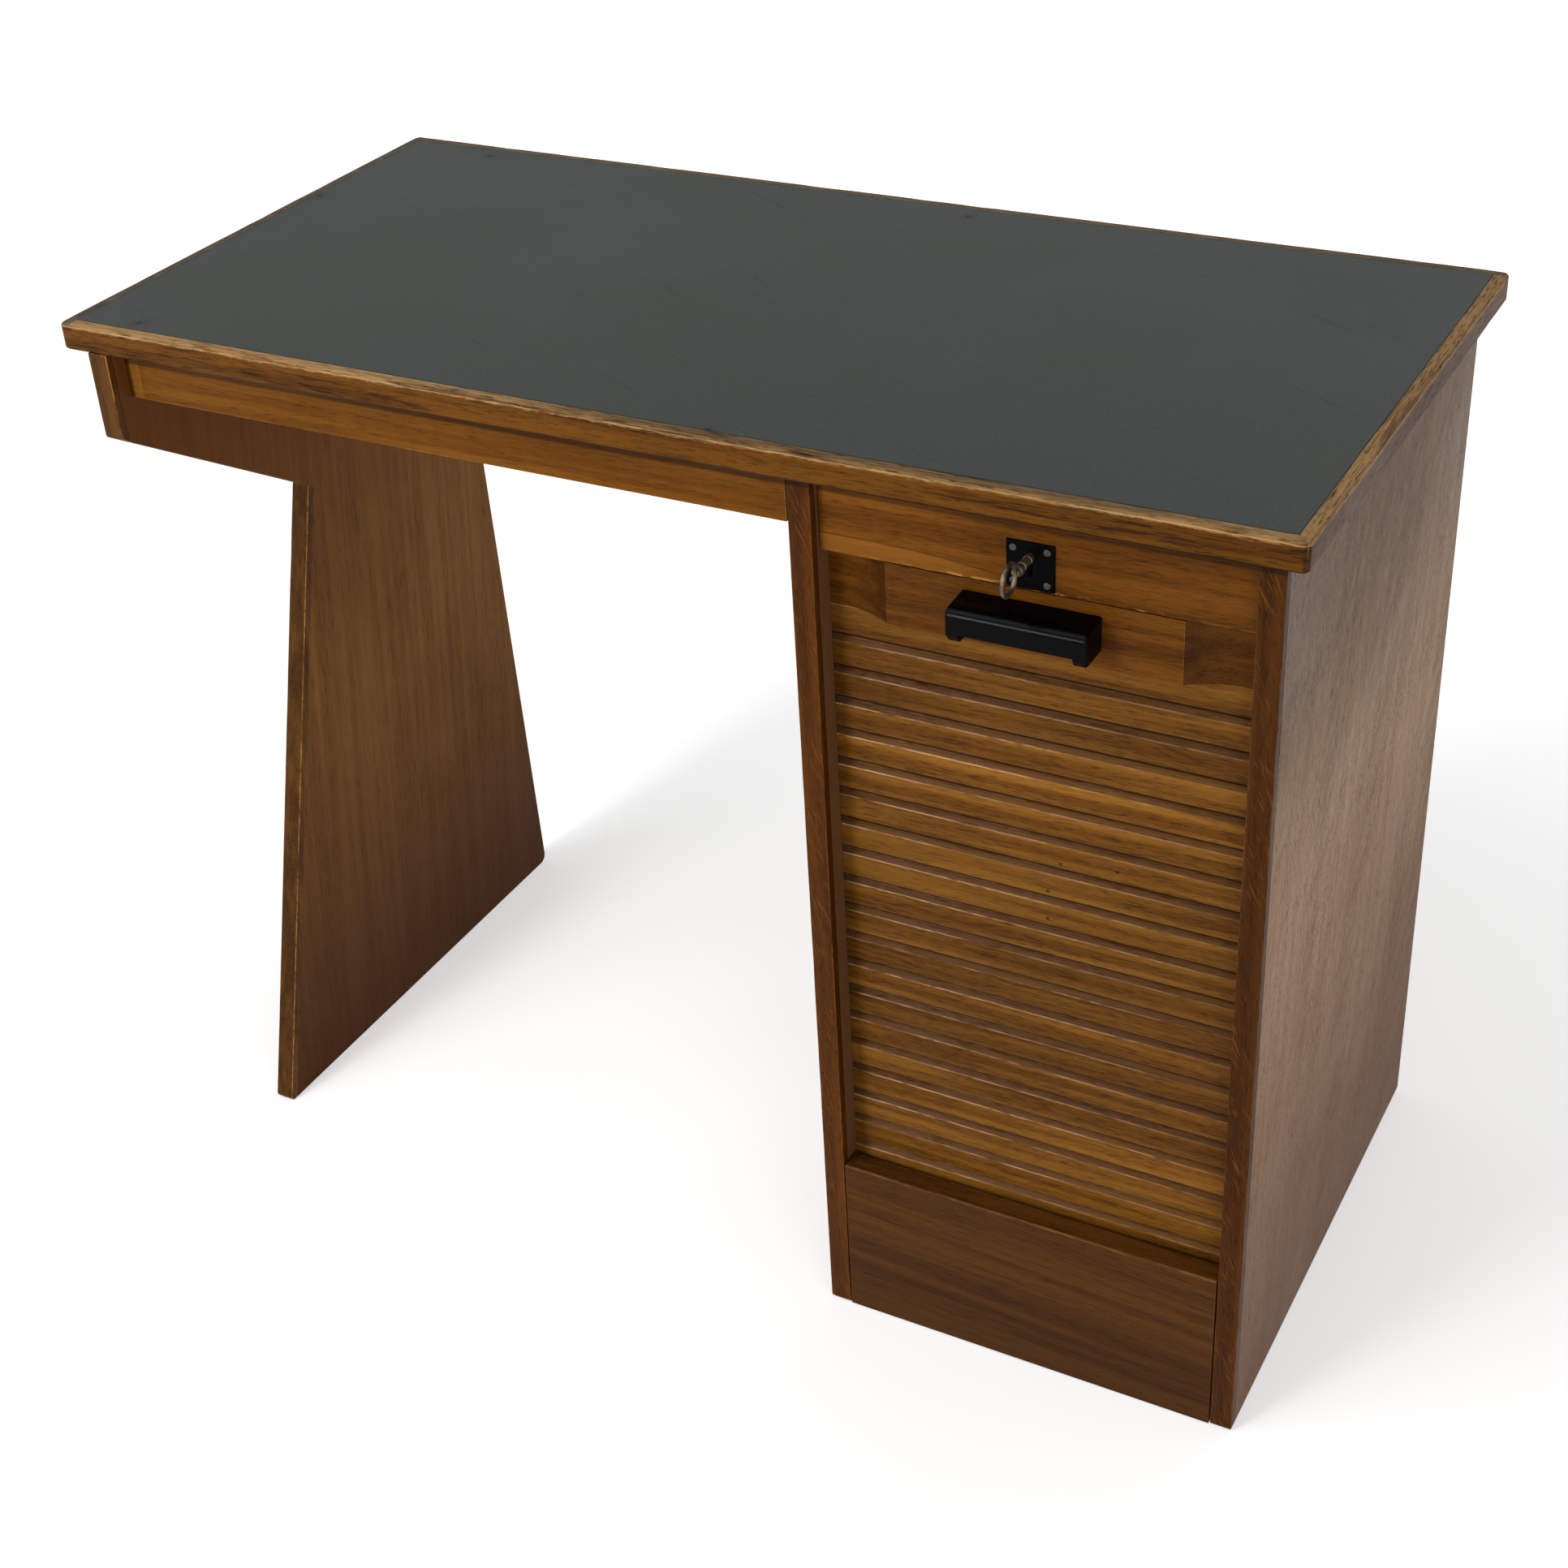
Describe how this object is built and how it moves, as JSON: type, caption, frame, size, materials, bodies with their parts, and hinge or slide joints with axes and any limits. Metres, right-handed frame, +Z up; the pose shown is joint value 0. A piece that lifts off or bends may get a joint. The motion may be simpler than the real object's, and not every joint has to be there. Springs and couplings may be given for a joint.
{
  "type": "writing desk with a roll-front pedestal",
  "caption": "Small oak writing desk with a linoleum top, a notched slab leg and a pedestal cupboard closed by a lockable roll-front curtain of slats.",
  "frame": {"origin": "on the floor, under the middle of the desk's outer box, which the key's bow sets at the front and the top's back edge at the back", "axes": "+X to the right along the front, -Y out of the front towards the person who sits at it, +Z up"},
  "size_m": [0.955, 0.477, 0.76],
  "materials": {
    "oak_edging": "satin varnish, worn pale on the arrises",
    "linoleum": "matt, finely mottled",
    "core_board": "raw",
    "oak_board": "satin varnish",
    "oak_rail": "satin varnish",
    "oak_plinth": "satin varnish",
    "inner_wood": "thin varnish",
    "oak_slat": "satin varnish, worn",
    "canvas": "woven",
    "steel": "dull",
    "black_enamel": "gloss",
    "black_handle": "gloss",
    "key_metal": "aged"
  },
  "bodies": {
    "desk": {"edge_front": "oak_edging", "edge_back": "oak_edging", "edge_left": "oak_edging", "edge_right": "oak_edging", "leg_arm_edging": "oak_edging", "leg_front_edging": "oak_edging", "side_left_edging": "oak_edging", "side_right_edging": "oak_edging", "linoleum": "linoleum", "top_core": "core_board", "leg_panel": "oak_board", "side_left": "oak_board", "side_right": "oak_board", "apron_front": "oak_rail", "apron_back": "oak_rail", "fascia": "oak_rail", "plinth": "oak_plinth", "back_panel": "inner_wood", "bottom_board": "inner_wood", "shelf_lower": "inner_wood", "shelf_upper": "inner_wood", "shelf_strips": "inner_wood", "glue_blocks": "inner_wood", "slat_01": "oak_slat", "slat_02": "oak_slat", "slat_03": "oak_slat", "slat_04": "oak_slat", "slat_05": "oak_slat", "slat_06": "oak_slat", "slat_07": "oak_slat", "slat_08": "oak_slat", "slat_09": "oak_slat", "slat_10": "oak_slat", "slat_11": "oak_slat", "slat_12": "oak_slat", "slat_13": "oak_slat", "slat_14": "oak_slat", "slat_15": "oak_slat", "slat_16": "oak_slat", "slat_17": "oak_slat", "slat_18": "oak_slat", "slat_19": "oak_slat", "slat_20": "oak_slat", "slat_21": "oak_slat", "slat_22": "oak_slat", "curtain_canvas": "canvas", "lock_screws": "steel", "lock_case": "steel", "lock_plate": "black_enamel"},
    "curtain_rail": {"pull_rail": "oak_rail", "handle": "black_handle", "handle_screws": "steel", "keeper": "steel", "keeper_screws": "steel"},
    "key_and_hook": {"key": "key_metal", "hook_lever": "steel"}
  },
  "joints": [
    {"name": "curtain_slide", "type": "slide", "parent": "desk", "child": "curtain_rail", "axis": [0, 0, -1], "range_m": [0, 0.4837], "deforming": ["slat_01", "slat_02", "slat_03", "slat_04", "slat_05", "slat_06", "slat_07", "slat_08", "slat_09", "slat_10", "slat_11", "slat_12", "slat_13", "slat_14", "slat_15", "slat_16", "slat_17", "slat_18", "slat_19", "slat_20", "slat_21", "slat_22", "curtain_canvas"]},
    {"name": "key_turn", "type": "hinge", "parent": "desk", "child": "key_and_hook", "pos_m": [0.29075, -0.2, 0.7015], "axis": [0, 1, 0], "range_deg": [0, 90]}
  ]
}
